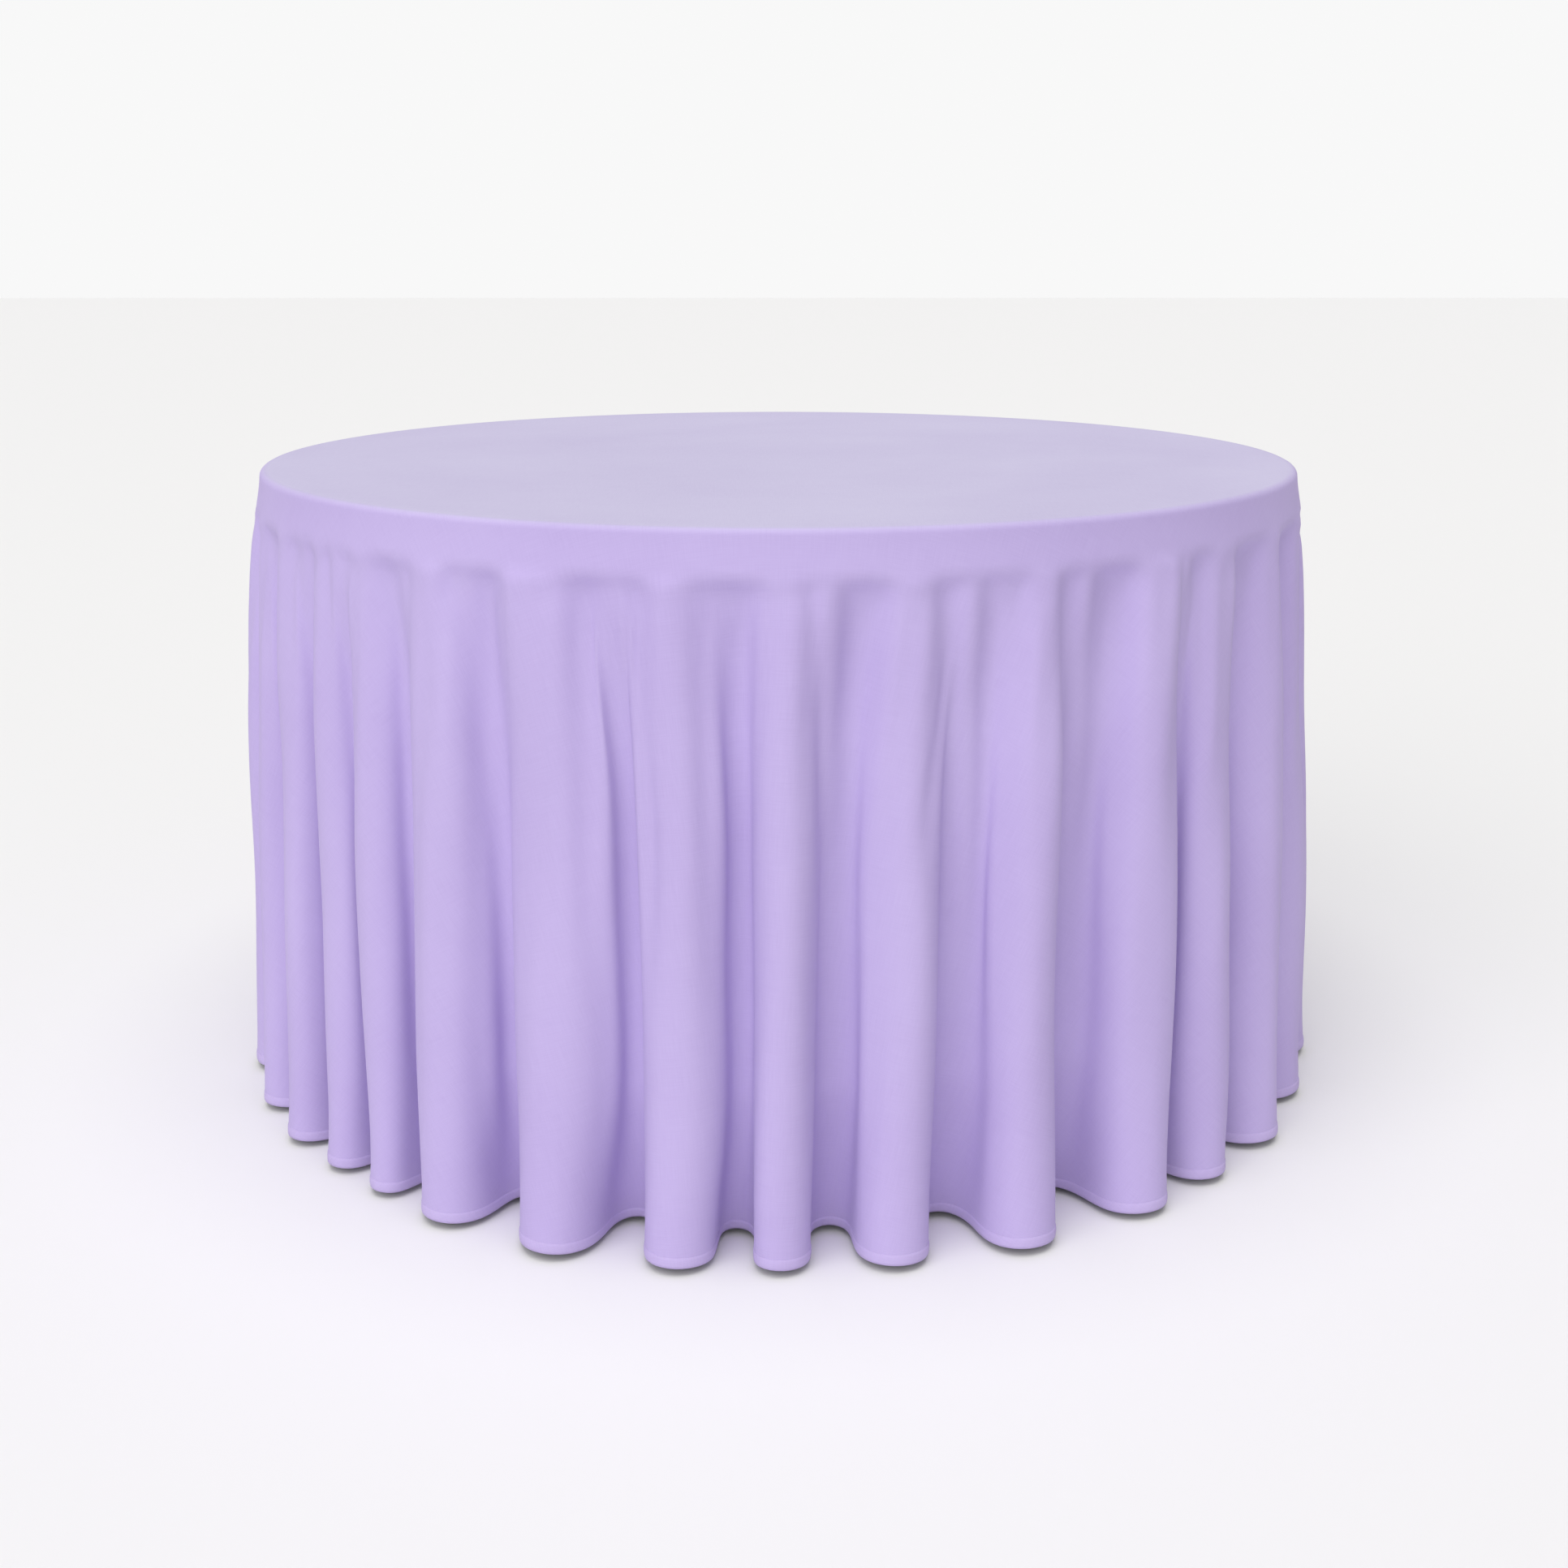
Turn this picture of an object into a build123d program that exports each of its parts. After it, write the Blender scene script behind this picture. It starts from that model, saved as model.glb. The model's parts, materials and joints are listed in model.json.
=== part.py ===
from build123d import *
import os
from math import atan2, cos, degrees, hypot, pi, radians, sin

# Round folding banquet table, dressed with a floor-length round tablecloth.
# Millimetres, +Z up. The origin is on the floor, under the middle of the table.
# The leg sets fold about axes along Y: set A stands at -X, set B at +X.

# ---------------------------------------------------------------- dimensions
TOP_D = 1219.2          # table top diameter, 48 in
TOP_H = 736.6           # height of the bare table top, 29 in
TOP_EDGE = 45.0         # height of the moulded edge
TOP_PANEL = 12.0        # thickness of the panel inside the edge
TOP_LIP = 22.0          # width of the moulded edge
TOP_R_UPPER = 6.0       # rounding of the top edge
TOP_R_LOWER = 5.0       # rounding of the bottom edge

CLOTH_GAP = 0.3         # air between the cloth and the top
CLOTH_T = 1.2           # cloth thickness in this solid model
HEM_Z = 8.0             # the hem hangs this far above the floor
HEM_H = 12.0            # depth of the turned hem
FOLDS = 32              # folds around the skirt
FOLD_CREST_R = 668.0    # outermost radius of the folds at the hem
FOLD_POINTS = 6         # spline points in each fold

TUBE_R = 12.5           # leg tube, 25 mm
TUBE_WALL = 1.5
CROSS_R = 10.0          # crossbar, 20 mm
ROD_R = 8.0             # pivot rod, 16 mm
ROD_WALL = 2.0
RUN = 0.05              # radial running clearance
PIVOT_X = 360.0         # leg pivots, at -X and +X
PIVOT_ZA = 674.0        # pivot height of leg set A
PIVOT_ZB = 639.0        # set B is lower, so that it folds under set A
TUBE_YA = 300.0         # tubes of set A, at -Y and +Y
TUBE_YB = 255.0         # set B folds between them
ROD_END = 342.0
FOOT_R = 15.0
FOOT_H = 40.0
FOOT_FLOOR = 4.0

RAIL_IN = 335.0         # inner face of the rail's web
RAIL_T = 2.0
RAIL_FLANGE = 27.0
RAIL_X = 415.0
RAIL_DROP = 35.0
BRACKET_T = 4.0
BRACKET_W = 50.0
BRACKET_END_R = 17.0
CROSS_PLATE_X = 60.0
CROSS_PLATE_T = 3.0

# Knee brace, in each leg set's own plane: distance inward from the leg pivot,
# and height over it.
BRACE_OFF = 25.0        # the brace tab stands this far off the leg's centre line
BRACE_DOWN = 270.0      # tab and crossbar below the leg pivot
BRACE_REACH = 330.0     # brace anchor inward from the leg pivot
LINK_HW = 9.0           # half width of a link
LINK_T = 3.0
TAB_HT = 2.5            # half thickness of the tab on the crossbar
LOWER_Y = 2.8           # inner face of the lower link's bars
UPPER_Y = 8.4           # inner face of the upper link's bars
EAR_Y = 11.7            # inner face of the anchor's ears
RIVET_R = 3.0
RIVET_HEAD_R = 6.0
RIVET_HEAD_T = 2.0
KNEE_GAP = 0.3          # the knee's half rivets stop this short of the lower bars

SCREW_R = 2.5
BOLT_R = 3.0

# ------------------------------------------------------------ derived values
TOP_R = TOP_D / 2
UNDER_Z = TOP_H - TOP_PANEL             # underside of the panel
EDGE_Z = TOP_H - TOP_EDGE               # bottom of the moulded edge
CLOTH_Z = TOP_H + CLOTH_GAP
CLOTH_TOP_Z = CLOTH_Z + CLOTH_T
CLOTH_R = TOP_R + 0.9                   # inner radius of the hanging cloth
SPAN = hypot(BRACE_REACH - BRACE_OFF, BRACE_OFF + BRACE_DOWN)
L_LOWER = (SPAN - (BRACE_REACH - BRACE_DOWN)) / 2
L_UPPER = SPAN - L_LOWER
BRACE_ANGLE = atan2(BRACE_OFF + BRACE_DOWN, BRACE_REACH - BRACE_OFF)

os.makedirs("parts", exist_ok=True)
made = []


def keep(builder, name):
    """Label a finished piece and write it to its own file."""
    builder.part.label = name
    export_step(builder.part, "parts/" + name + ".step")
    made.append(name)
    print(f"{name:28s} {len(builder.part.solids())} solid(s)  {builder.part.volume / 1000:10.2f} cm3")


# ==================================================================== table
with BuildPart() as tabletop:
    with BuildSketch(Plane.XZ):
        with BuildLine():
            Polyline(
                (0, UNDER_Z), (TOP_R - TOP_LIP - 6, UNDER_Z), (TOP_R - TOP_LIP, UNDER_Z - 6),
                (TOP_R - TOP_LIP, EDGE_Z), (TOP_R, EDGE_Z), (TOP_R, TOP_H), (0, TOP_H), (0, UNDER_Z),
            )
        make_face()
    revolve(axis=Axis.Z)
    fillet(tabletop.edges().filter_by(GeomType.CIRCLE).group_by(Axis.Z)[-1], TOP_R_UPPER)
    fillet(
        tabletop.edges().filter_by(GeomType.CIRCLE).group_by(Axis.Z)[0].sort_by(SortBy.RADIUS)[-1],
        TOP_R_LOWER,
    )
    # pilot holes for the screws that hold the two rails and the cross plate
    with Locations(Plane.XY.offset(UNDER_Z)):
        with Locations(*[(sx * x, sy * (RAIL_IN + 15)) for x in (140, 390) for sx in (-1, 1) for sy in (-1, 1)]):
            Cylinder(SCREW_R + RUN, 9, align=(Align.CENTER, Align.CENTER, Align.MIN), mode=Mode.SUBTRACT)
keep(tabletop, "tabletop")


def make_rail(side):
    """An angle rail along X: a web hanging down, and a flange under the panel."""
    with BuildPart() as rail:
        with BuildSketch(Plane.YZ.offset(-RAIL_X)):
            with BuildLine():
                Polyline(
                    (side * RAIL_IN, UNDER_Z - RAIL_DROP), (side * (RAIL_IN + RAIL_T), UNDER_Z - RAIL_DROP),
                    (side * (RAIL_IN + RAIL_T), UNDER_Z - RAIL_T), (side * (RAIL_IN + RAIL_FLANGE), UNDER_Z - RAIL_T),
                    (side * (RAIL_IN + RAIL_FLANGE), UNDER_Z), (side * RAIL_IN, UNDER_Z),
                    (side * RAIL_IN, UNDER_Z - RAIL_DROP),
                )
            make_face()
        extrude(amount=2 * RAIL_X)
        with Locations(*[(x, side * (RAIL_IN + 15), UNDER_Z) for x in (-390, -140, 140, 390)]):
            Cylinder(SCREW_R + 0.3, 3 * RAIL_T, mode=Mode.SUBTRACT)
        # two bolt holes in the web for each leg bracket
        with Locations(*[
            Location((sx * (PIVOT_X + dx), side * (RAIL_IN + RAIL_T / 2), UNDER_Z - 14), (90, 0, 0))
            for sx in (-1, 1) for dx in (-15, 15)
        ]):
            Cylinder(BOLT_R + RUN, 4 * RAIL_T, mode=Mode.SUBTRACT)
    return rail


rail_front = make_rail(-1)
keep(rail_front, "rail_front")
rail_back = make_rail(1)
keep(rail_back, "rail_back")

# cross plate that ties the rails and carries both brace anchors
with BuildPart() as cross_plate:
    with BuildSketch(Plane.XY.offset(UNDER_Z - CROSS_PLATE_T)):
        RectangleRounded(2 * CROSS_PLATE_X, 2 * (RAIL_IN - 1), 8)
        with GridLocations(60, 400, 2, 2):
            SlotOverall(30, 12, mode=Mode.SUBTRACT)
    extrude(amount=CROSS_PLATE_T)
keep(cross_plate, "cross_plate")


def make_bracket(sx, side, pivot_z):
    """A plate bolted inside a rail's web; the pivot rod turns in its bore."""
    top = UNDER_Z - RAIL_T - 2
    with BuildPart() as bracket:
        with BuildSketch(Plane.XZ.offset(-side * RAIL_IN)):
            with BuildLine():
                a = Line((sx * PIVOT_X - BRACKET_W / 2, top), (sx * PIVOT_X + BRACKET_W / 2, top))
                b = Line(a @ 1, (sx * PIVOT_X + BRACKET_W / 2, top - 26))
                c = Line(b @ 1, (sx * PIVOT_X + BRACKET_END_R, pivot_z))
                d = ThreePointArc(c @ 1, (sx * PIVOT_X, pivot_z - BRACKET_END_R), (sx * PIVOT_X - BRACKET_END_R, pivot_z))
                e = Line(d @ 1, (sx * PIVOT_X - BRACKET_W / 2, top - 26))
                Line(e @ 1, a @ 0)
            make_face()
            with Locations((sx * PIVOT_X, pivot_z)):
                Circle(ROD_R + RUN, mode=Mode.SUBTRACT)
            with Locations(*[(sx * (PIVOT_X + dx), UNDER_Z - 14) for dx in (-15, 15)]):
                Circle(BOLT_R + RUN, mode=Mode.SUBTRACT)
        extrude(amount=side * BRACKET_T)
    return bracket


bracket_a_front = make_bracket(-1, -1, PIVOT_ZA)
keep(bracket_a_front, "bracket_a_front")
bracket_a_back = make_bracket(-1, 1, PIVOT_ZA)
keep(bracket_a_back, "bracket_a_back")
bracket_b_front = make_bracket(1, -1, PIVOT_ZB)
keep(bracket_b_front, "bracket_b_front")
bracket_b_back = make_bracket(1, 1, PIVOT_ZB)
keep(bracket_b_back, "bracket_b_back")


def make_anchor(sx, pivot_z):
    """Brace anchor: a foot under the cross plate, and two ears for the upper link."""
    x0 = sx * (PIVOT_X - BRACE_REACH)
    z0 = pivot_z + BRACE_OFF
    foot_z = UNDER_Z - CROSS_PLATE_T
    with BuildPart() as anchor:
        with BuildSketch(Plane.XZ.offset(-EAR_Y)):
            with BuildLine():
                a = Line((x0 - LINK_HW, foot_z), (x0 + LINK_HW, foot_z))
                b = Line(a @ 1, (x0 + LINK_HW, z0))
                c = ThreePointArc(b @ 1, (x0, z0 - LINK_HW), (x0 - LINK_HW, z0))
                Line(c @ 1, a @ 0)
            make_face()
            with Locations((x0, z0)):
                Circle(RIVET_R + RUN, mode=Mode.SUBTRACT)
        extrude(amount=-LINK_T)
        mirror(about=Plane.XZ)
        with BuildSketch(Plane.XY.offset(foot_z)):
            with Locations((x0, 0)):
                Rectangle(2 * LINK_HW, 2 * (EAR_Y + LINK_T + 9))
        extrude(amount=-LINK_T)
    return anchor


brace_a_anchor = make_anchor(-1, PIVOT_ZA)
keep(brace_a_anchor, "brace_a_anchor")
brace_b_anchor = make_anchor(1, PIVOT_ZB)
keep(brace_b_anchor, "brace_b_anchor")

# the rivet that each upper link turns on, through both ears
with BuildPart() as anchor_rivets:
    for sx, pz in ((-1, PIVOT_ZA), (1, PIVOT_ZB)):
        with BuildSketch(Plane.XZ):
            with Locations((sx * (PIVOT_X - BRACE_REACH), pz + BRACE_OFF)):
                Circle(RIVET_R)
        extrude(amount=EAR_Y + LINK_T, both=True)
        for s in (-1, 1):
            with BuildSketch(Plane.XZ.offset(s * (EAR_Y + LINK_T))):
                with Locations((sx * (PIVOT_X - BRACE_REACH), pz + BRACE_OFF)):
                    Circle(RIVET_HEAD_R)
            extrude(amount=s * RIVET_HEAD_T)
keep(anchor_rivets, "anchor_rivets")

# pan-head screws up through the rail flanges
with BuildPart() as rail_screws:
    for x in (-390, -140, 140, 390):
        for side in (-1, 1):
            with BuildSketch(Plane.XY.offset(UNDER_Z - RAIL_T)):
                with Locations((x, side * (RAIL_IN + 15))):
                    Circle(SCREW_R)
            extrude(amount=RAIL_T + 8)
            with BuildSketch(Plane.XY.offset(UNDER_Z - RAIL_T)):
                with Locations((x, side * (RAIL_IN + 15))):
                    Circle(2 * SCREW_R)
            extrude(amount=-3, taper=20)
keep(rail_screws, "rail_screws")

# bolts that clamp each leg bracket to the rail's web
with BuildPart() as bracket_bolts:
    for sx in (-1, 1):
        for dx in (-15, 15):
            for side in (-1, 1):
                spot = (sx * (PIVOT_X + dx), UNDER_Z - 14)
                with BuildSketch(Plane.XZ.offset(-side * (RAIL_IN - BRACKET_T))):
                    with Locations(spot):
                        Circle(BOLT_R)
                extrude(amount=-side * (BRACKET_T + RAIL_T + 4))
                with BuildSketch(Plane.XZ.offset(-side * (RAIL_IN - BRACKET_T))):
                    with Locations(spot):
                        RegularPolygon(5.5, 6)
                extrude(amount=side * 4)
keep(bracket_bolts, "bracket_bolts")


# ================================================================= leg sets
def make_tube(sx, y, pivot_z):
    """A leg tube, drilled across near its top for the pivot rod."""
    with BuildPart() as tube:
        with BuildSketch(Plane.XY.offset(FOOT_FLOOR)):
            with Locations((sx * PIVOT_X, y)):
                Circle(TUBE_R)
                Circle(TUBE_R - TUBE_WALL, mode=Mode.SUBTRACT)
        extrude(amount=pivot_z + TUBE_R + 1.5 - FOOT_FLOOR)
        with BuildSketch(Plane.XZ.offset(-y)):
            with Locations((sx * PIVOT_X, pivot_z)):
                Circle(ROD_R + RUN)
        extrude(amount=2 * TUBE_R, both=True, mode=Mode.SUBTRACT)
    return tube


def make_rod(sx, pivot_z):
    """The pivot rod that a leg set hangs on."""
    with BuildPart() as rod:
        with BuildSketch(Plane.XZ):
            with Locations((sx * PIVOT_X, pivot_z)):
                Circle(ROD_R)
                Circle(ROD_R - ROD_WALL, mode=Mode.SUBTRACT)
        extrude(amount=ROD_END, both=True)
    return rod


def make_crossbar(sx, tube_y, pivot_z):
    """Crossbar between the two tubes, with the brace's tab welded to its middle."""
    x0 = sx * PIVOT_X
    z0 = pivot_z - BRACE_DOWN
    with BuildPart() as bar:
        with BuildSketch(Plane.XZ):
            with Locations((x0, z0)):
                Circle(CROSS_R)
        extrude(amount=tube_y, both=True)
        with BuildSketch(Plane.XZ):
            with Locations((x0 - sx * BRACE_OFF, z0)):
                Circle(LINK_HW)
            with Locations((x0 - sx * BRACE_OFF / 2, z0)):
                Rectangle(BRACE_OFF, 2 * LINK_HW)
        extrude(amount=TAB_HT, both=True)
        with BuildSketch(Plane.XZ):
            with Locations((x0, z0)):
                Circle(CROSS_R - TUBE_WALL)
        extrude(amount=tube_y, both=True, mode=Mode.SUBTRACT)
        with BuildSketch(Plane.XZ):
            with Locations((x0 - sx * BRACE_OFF, z0)):
                Circle(RIVET_R + RUN)
        extrude(amount=2 * TAB_HT, both=True, mode=Mode.SUBTRACT)
        # both ends are coped to the leg tubes
        with BuildSketch(Plane.XY.offset(z0)):
            with Locations((x0, tube_y), (x0, -tube_y)):
                Circle(TUBE_R + RUN)
        extrude(amount=2 * CROSS_R, both=True, mode=Mode.SUBTRACT)
    return bar


def make_foot(sx, y):
    """Cupped rubber foot over the end of a tube."""
    with BuildPart() as foot:
        with BuildSketch(Plane.XZ.offset(-y)):
            with BuildLine():
                Polyline(
                    (sx * PIVOT_X, 0), (sx * PIVOT_X + FOOT_R - 2, 0), (sx * PIVOT_X + FOOT_R, 3),
                    (sx * PIVOT_X + FOOT_R, FOOT_H - 2), (sx * PIVOT_X + FOOT_R - 1, FOOT_H),
                    (sx * PIVOT_X + TUBE_R + RUN, FOOT_H), (sx * PIVOT_X + TUBE_R + RUN, FOOT_FLOOR),
                    (sx * PIVOT_X, FOOT_FLOOR), (sx * PIVOT_X, 0),
                )
            make_face()
        revolve(axis=Axis((sx * PIVOT_X, y, 0), (0, 0, 1)))
    return foot


def make_tab_rivet(sx, pivot_z):
    """The rivet that the lower link turns on, through the crossbar's tab."""
    spot = (sx * (PIVOT_X - BRACE_OFF), pivot_z - BRACE_DOWN)
    with BuildPart() as rivet:
        with BuildSketch(Plane.XZ):
            with Locations(spot):
                Circle(RIVET_R)
        extrude(amount=LOWER_Y + LINK_T, both=True)
        for s in (-1, 1):
            with BuildSketch(Plane.XZ.offset(s * (LOWER_Y + LINK_T))):
                with Locations(spot):
                    Circle(RIVET_HEAD_R)
            extrude(amount=s * RIVET_HEAD_T)
    return rivet


def make_link(start, end, inner_y, hole_start, hole_end):
    """Two flat bars with round ends, one each side of the middle plane."""
    length = hypot(end[0] - start[0], end[1] - start[1])
    middle = ((start[0] + end[0]) / 2, (start[1] + end[1]) / 2)
    turn = degrees(atan2(end[1] - start[1], end[0] - start[0]))
    with BuildPart() as link:
        with BuildSketch(Plane.XZ.offset(-inner_y)):
            with Locations(middle):
                SlotCenterToCenter(length, 2 * LINK_HW, rotation=turn)
            with Locations(start):
                Circle(hole_start, mode=Mode.SUBTRACT)
            with Locations(end):
                Circle(hole_end, mode=Mode.SUBTRACT)
        extrude(amount=-LINK_T)
        mirror(about=Plane.XZ)
    return link


def make_knee_rivets(knee):
    """Two half rivets in the upper bars; they stop just short of the lower bars."""
    with BuildPart() as rivets:
        with BuildSketch(Plane.XZ.offset(-(LOWER_Y + LINK_T + KNEE_GAP))):
            with Locations(knee):
                Circle(RIVET_R)
        extrude(amount=-(UPPER_Y + LINK_T - LOWER_Y - LINK_T - KNEE_GAP))
        with BuildSketch(Plane.XZ.offset(-(UPPER_Y + LINK_T))):
            with Locations(knee):
                Circle(RIVET_HEAD_R)
        extrude(amount=-RIVET_HEAD_T)
        mirror(about=Plane.XZ)
    return rivets


for tag, sx, tube_y, pivot_z in (("a", -1, TUBE_YA, PIVOT_ZA), ("b", 1, TUBE_YB, PIVOT_ZB)):
    keep(make_tube(sx, -tube_y, pivot_z), f"leg_{tag}_tube_front")
    keep(make_tube(sx, tube_y, pivot_z), f"leg_{tag}_tube_back")
    keep(make_rod(sx, pivot_z), f"leg_{tag}_pivot_rod")
    keep(make_crossbar(sx, tube_y, pivot_z), f"leg_{tag}_crossbar")
    keep(make_foot(sx, -tube_y), f"leg_{tag}_foot_front")
    keep(make_foot(sx, tube_y), f"leg_{tag}_foot_back")
    keep(make_tab_rivet(sx, pivot_z), f"leg_{tag}_brace_rivet")
    tab = (sx * (PIVOT_X - BRACE_OFF), pivot_z - BRACE_DOWN)
    knee = (
        sx * (PIVOT_X - BRACE_OFF - L_LOWER * cos(BRACE_ANGLE)),
        pivot_z - BRACE_DOWN + L_LOWER * sin(BRACE_ANGLE),
    )
    anchor = (sx * (PIVOT_X - BRACE_REACH), pivot_z + BRACE_OFF)
    keep(make_link(tab, knee, LOWER_Y, RIVET_R + RUN, RIVET_R + 0.3), f"brace_{tag}_lower_link")
    keep(make_link(knee, anchor, UPPER_Y, RIVET_R + RUN, RIVET_R + RUN), f"brace_{tag}_upper_link")
    keep(make_knee_rivets(knee), f"brace_{tag}_knee_rivets")


# ==================================================================== cloth
# The part of the cloth that lies flat on the table, out to the hanging part.
with BuildPart() as tablecloth_top:
    with BuildSketch(Plane.XY.offset(CLOTH_Z)):
        Circle(CLOTH_R + CLOTH_T)
    extrude(amount=CLOTH_T)
keep(tablecloth_top, "tablecloth_top")


def fold_points(offset, z):
    """Points round one level of the folds; the folds deepen evenly from the edge down."""
    grow = max(0.0, (EDGE_Z - z) / (EDGE_Z - HEM_Z))
    half = (FOLD_CREST_R - CLOTH_T / 2 - CLOTH_R - CLOTH_T / 2) / 2 * grow
    mid = CLOTH_R + CLOTH_T / 2 + half
    n = FOLDS * FOLD_POINTS
    return [
        (
            (mid + half * cos(FOLDS * 2 * pi * i / n) + offset) * cos(2 * pi * i / n),
            (mid + half * cos(FOLDS * 2 * pi * i / n) + offset) * sin(2 * pi * i / n),
        )
        for i in range(n)
    ]


def make_folds(z_low, z_high, thickness):
    """A closed, fluted wall of cloth between two levels."""
    with BuildPart() as wall:
        for z in (z_low, z_high):
            with BuildSketch(Plane.XY.offset(z)):
                with BuildLine():
                    Spline(*fold_points(thickness / 2, z), periodic=True)
                make_face()
        loft(ruled=True)
        for z in (z_low, z_high):
            with BuildSketch(Plane.XY.offset(z)):
                with BuildLine():
                    Spline(*fold_points(-thickness / 2, z), periodic=True)
                make_face()
        loft(ruled=True, mode=Mode.SUBTRACT)
    return wall


# Against the edge of the top the cloth hangs smooth, and the folds start under it.
tablecloth_edge_band = make_folds(EDGE_Z, CLOTH_Z, CLOTH_T)
keep(tablecloth_edge_band, "tablecloth_edge_band")
tablecloth_skirt = make_folds(HEM_Z + HEM_H, EDGE_Z, CLOTH_T)
keep(tablecloth_skirt, "tablecloth_skirt")
tablecloth_hem = make_folds(HEM_Z, HEM_Z + HEM_H, CLOTH_T)
keep(tablecloth_hem, "tablecloth_hem")

print(len(made), "nodes")
print("lower link %.2f mm, upper link %.2f mm, brace angle %.3f deg" % (L_LOWER, L_UPPER, degrees(BRACE_ANGLE)))
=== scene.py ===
import json
import math
import bpy
import numpy as np
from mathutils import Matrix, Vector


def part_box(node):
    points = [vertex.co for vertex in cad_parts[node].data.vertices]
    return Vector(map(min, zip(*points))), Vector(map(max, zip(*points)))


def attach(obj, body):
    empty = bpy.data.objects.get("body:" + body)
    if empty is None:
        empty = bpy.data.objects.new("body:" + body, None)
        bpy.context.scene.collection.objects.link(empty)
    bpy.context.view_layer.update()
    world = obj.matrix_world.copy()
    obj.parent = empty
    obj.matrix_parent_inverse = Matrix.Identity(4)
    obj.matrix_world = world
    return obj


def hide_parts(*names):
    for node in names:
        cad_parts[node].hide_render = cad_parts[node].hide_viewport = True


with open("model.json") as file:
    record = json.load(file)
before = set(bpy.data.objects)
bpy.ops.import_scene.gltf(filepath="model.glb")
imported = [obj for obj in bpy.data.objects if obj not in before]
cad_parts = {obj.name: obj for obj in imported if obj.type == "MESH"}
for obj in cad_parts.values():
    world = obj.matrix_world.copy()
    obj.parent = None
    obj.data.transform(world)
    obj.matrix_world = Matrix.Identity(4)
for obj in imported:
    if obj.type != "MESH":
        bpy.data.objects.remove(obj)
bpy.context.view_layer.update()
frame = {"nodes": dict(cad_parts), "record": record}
scene = bpy.context.scene

# ------------------------------------------------------------------ facts
TOP_LO, TOP_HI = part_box("tabletop")
R_TOP = float(TOP_HI.x)                 # radius of the bare table top
Z_TOP = float(TOP_HI.z)                 # its height
Z_EDGE = float(TOP_LO.z)                # bottom of its moulded edge
R_ROUND = 0.006                         # rounding of its upper edge
CLOTH_T = 0.0008                        # cloth thickness
Z_CLOTH = Z_TOP + 0.0009                # middle of the cloth where it lies flat
R_CLOTH = R_TOP + 0.0014                # middle of the cloth where it hangs on the edge
FLAT_R = 1.3370                         # radius of the round cut, hemmed
HEM_W = 0.011                           # width of the turned hem
N = 1280          # columns round the cloth
ROW = 0.0060   # row spacing down the hanging part

# Crests and valleys of the folds at the hem: azimuth in degrees from -Y
# towards +X, and radius in metres.
FOLDS = [
    (-79.0, 0.668, 1), (-72.0, 0.598, 0), (-66.5, 0.664, 1), (-62.0, 0.600, 0),
    (-57.5, 0.672, 1), (-53.0, 0.596, 0), (-49.0, 0.664, 1), (-45.4, 0.592, 0),
    (-41.8, 0.652, 1), (-38.2, 0.580, 0), (-32.6, 0.665, 1), (-27.6, 0.582, 0),
    (-21.4, 0.664, 1), (-15.4, 0.578, 0), (-9.0, 0.661, 1), (-4.5, 0.575, 0),
    (0.3, 0.664, 1), (4.6, 0.589, 0), (9.8, 0.671, 1), (16.8, 0.596, 0),
    (22.3, 0.673, 1), (29.4, 0.591, 0), (36.9, 0.672, 1), (41.5, 0.590, 0),
    (46.3, 0.668, 1), (51.0, 0.588, 0), (57.6, 0.669, 1), (63.0, 0.590, 0),
    (69.0, 0.656, 1), (75.0, 0.592, 0), (82.0, 0.664, 1), (87.6, 0.590, 0),
]


def fill_back(folds, seed=7, count=18):
    """Folds on the side away from the camera, with the same spread of widths."""
    rng = np.random.default_rng(seed)
    start, end = folds[-1][0], folds[0][0] + 360.0
    w = rng.uniform(0.72, 1.3, 2 * count)
    w[0::2] *= 1.04
    edges = start + (end - start) * np.cumsum(w) / w.sum()
    out = list(folds)
    for k, a in enumerate(edges[:-1]):
        crest = k % 2 == 0
        out.append((float(a), float(rng.uniform(0.657, 0.672) if crest else rng.uniform(0.576, 0.598)), int(crest)))
    return out


# --------------------------------------------------------------- the drape
def meander_tables():
    """Shape of half a fold whose tangent turns from +psi to -psi: share of its chord and its height."""
    psi = np.linspace(0.0, 2.15, 87)
    t = np.linspace(0, 1, 129)
    ang = psi[:, None] * np.cos(np.pi * t)[None, :]
    dt = t[1] - t[0]
    c, s = np.cos(ang), np.sin(ang)
    x = np.concatenate([np.zeros((len(psi), 1)), np.cumsum((c[:, 1:] + c[:, :-1]) / 2 * dt, 1)], 1)
    y = np.concatenate([np.zeros((len(psi), 1)), np.cumsum((s[:, 1:] + s[:, :-1]) / 2 * dt, 1)], 1)
    return psi, t, x, y


PSI, TT, XT, YT = meander_tables()
CHORD = XT[:, -1]
HEIGHT = YT.max(1)


def smooth_ring(a, sigma):
    n = a.shape[-1]
    k = np.fft.rfftfreq(n) * 2 * np.pi
    return np.fft.irfft(np.fft.rfft(a, axis=-1) * np.exp(-0.5 * (k * sigma) ** 2), n, axis=-1)


def layout():
    f = fill_back(FOLDS)
    az = np.radians([p[0] for p in f])
    rad = np.array([p[1] for p in f])
    crest = np.array([p[2] for p in f], bool)
    nxt = np.roll(az, -1).copy()
    nxt[-1] += 2 * np.pi
    wall_after = az + (nxt - az) * np.where(crest, 0.55, 0.45)   # crests a little broader than valleys
    wall_before = np.roll(wall_after, 1).copy()
    wall_before[0] -= 2 * np.pi
    dth = wall_after - wall_before
    return az, rad, crest, wall_before, dth


def slack(d):
    """The cloth is a little looser just under the edge, where it was pulled over it by hand."""
    return 1 - 0.35 * np.exp(-(d / 0.16) ** 2)


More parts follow.
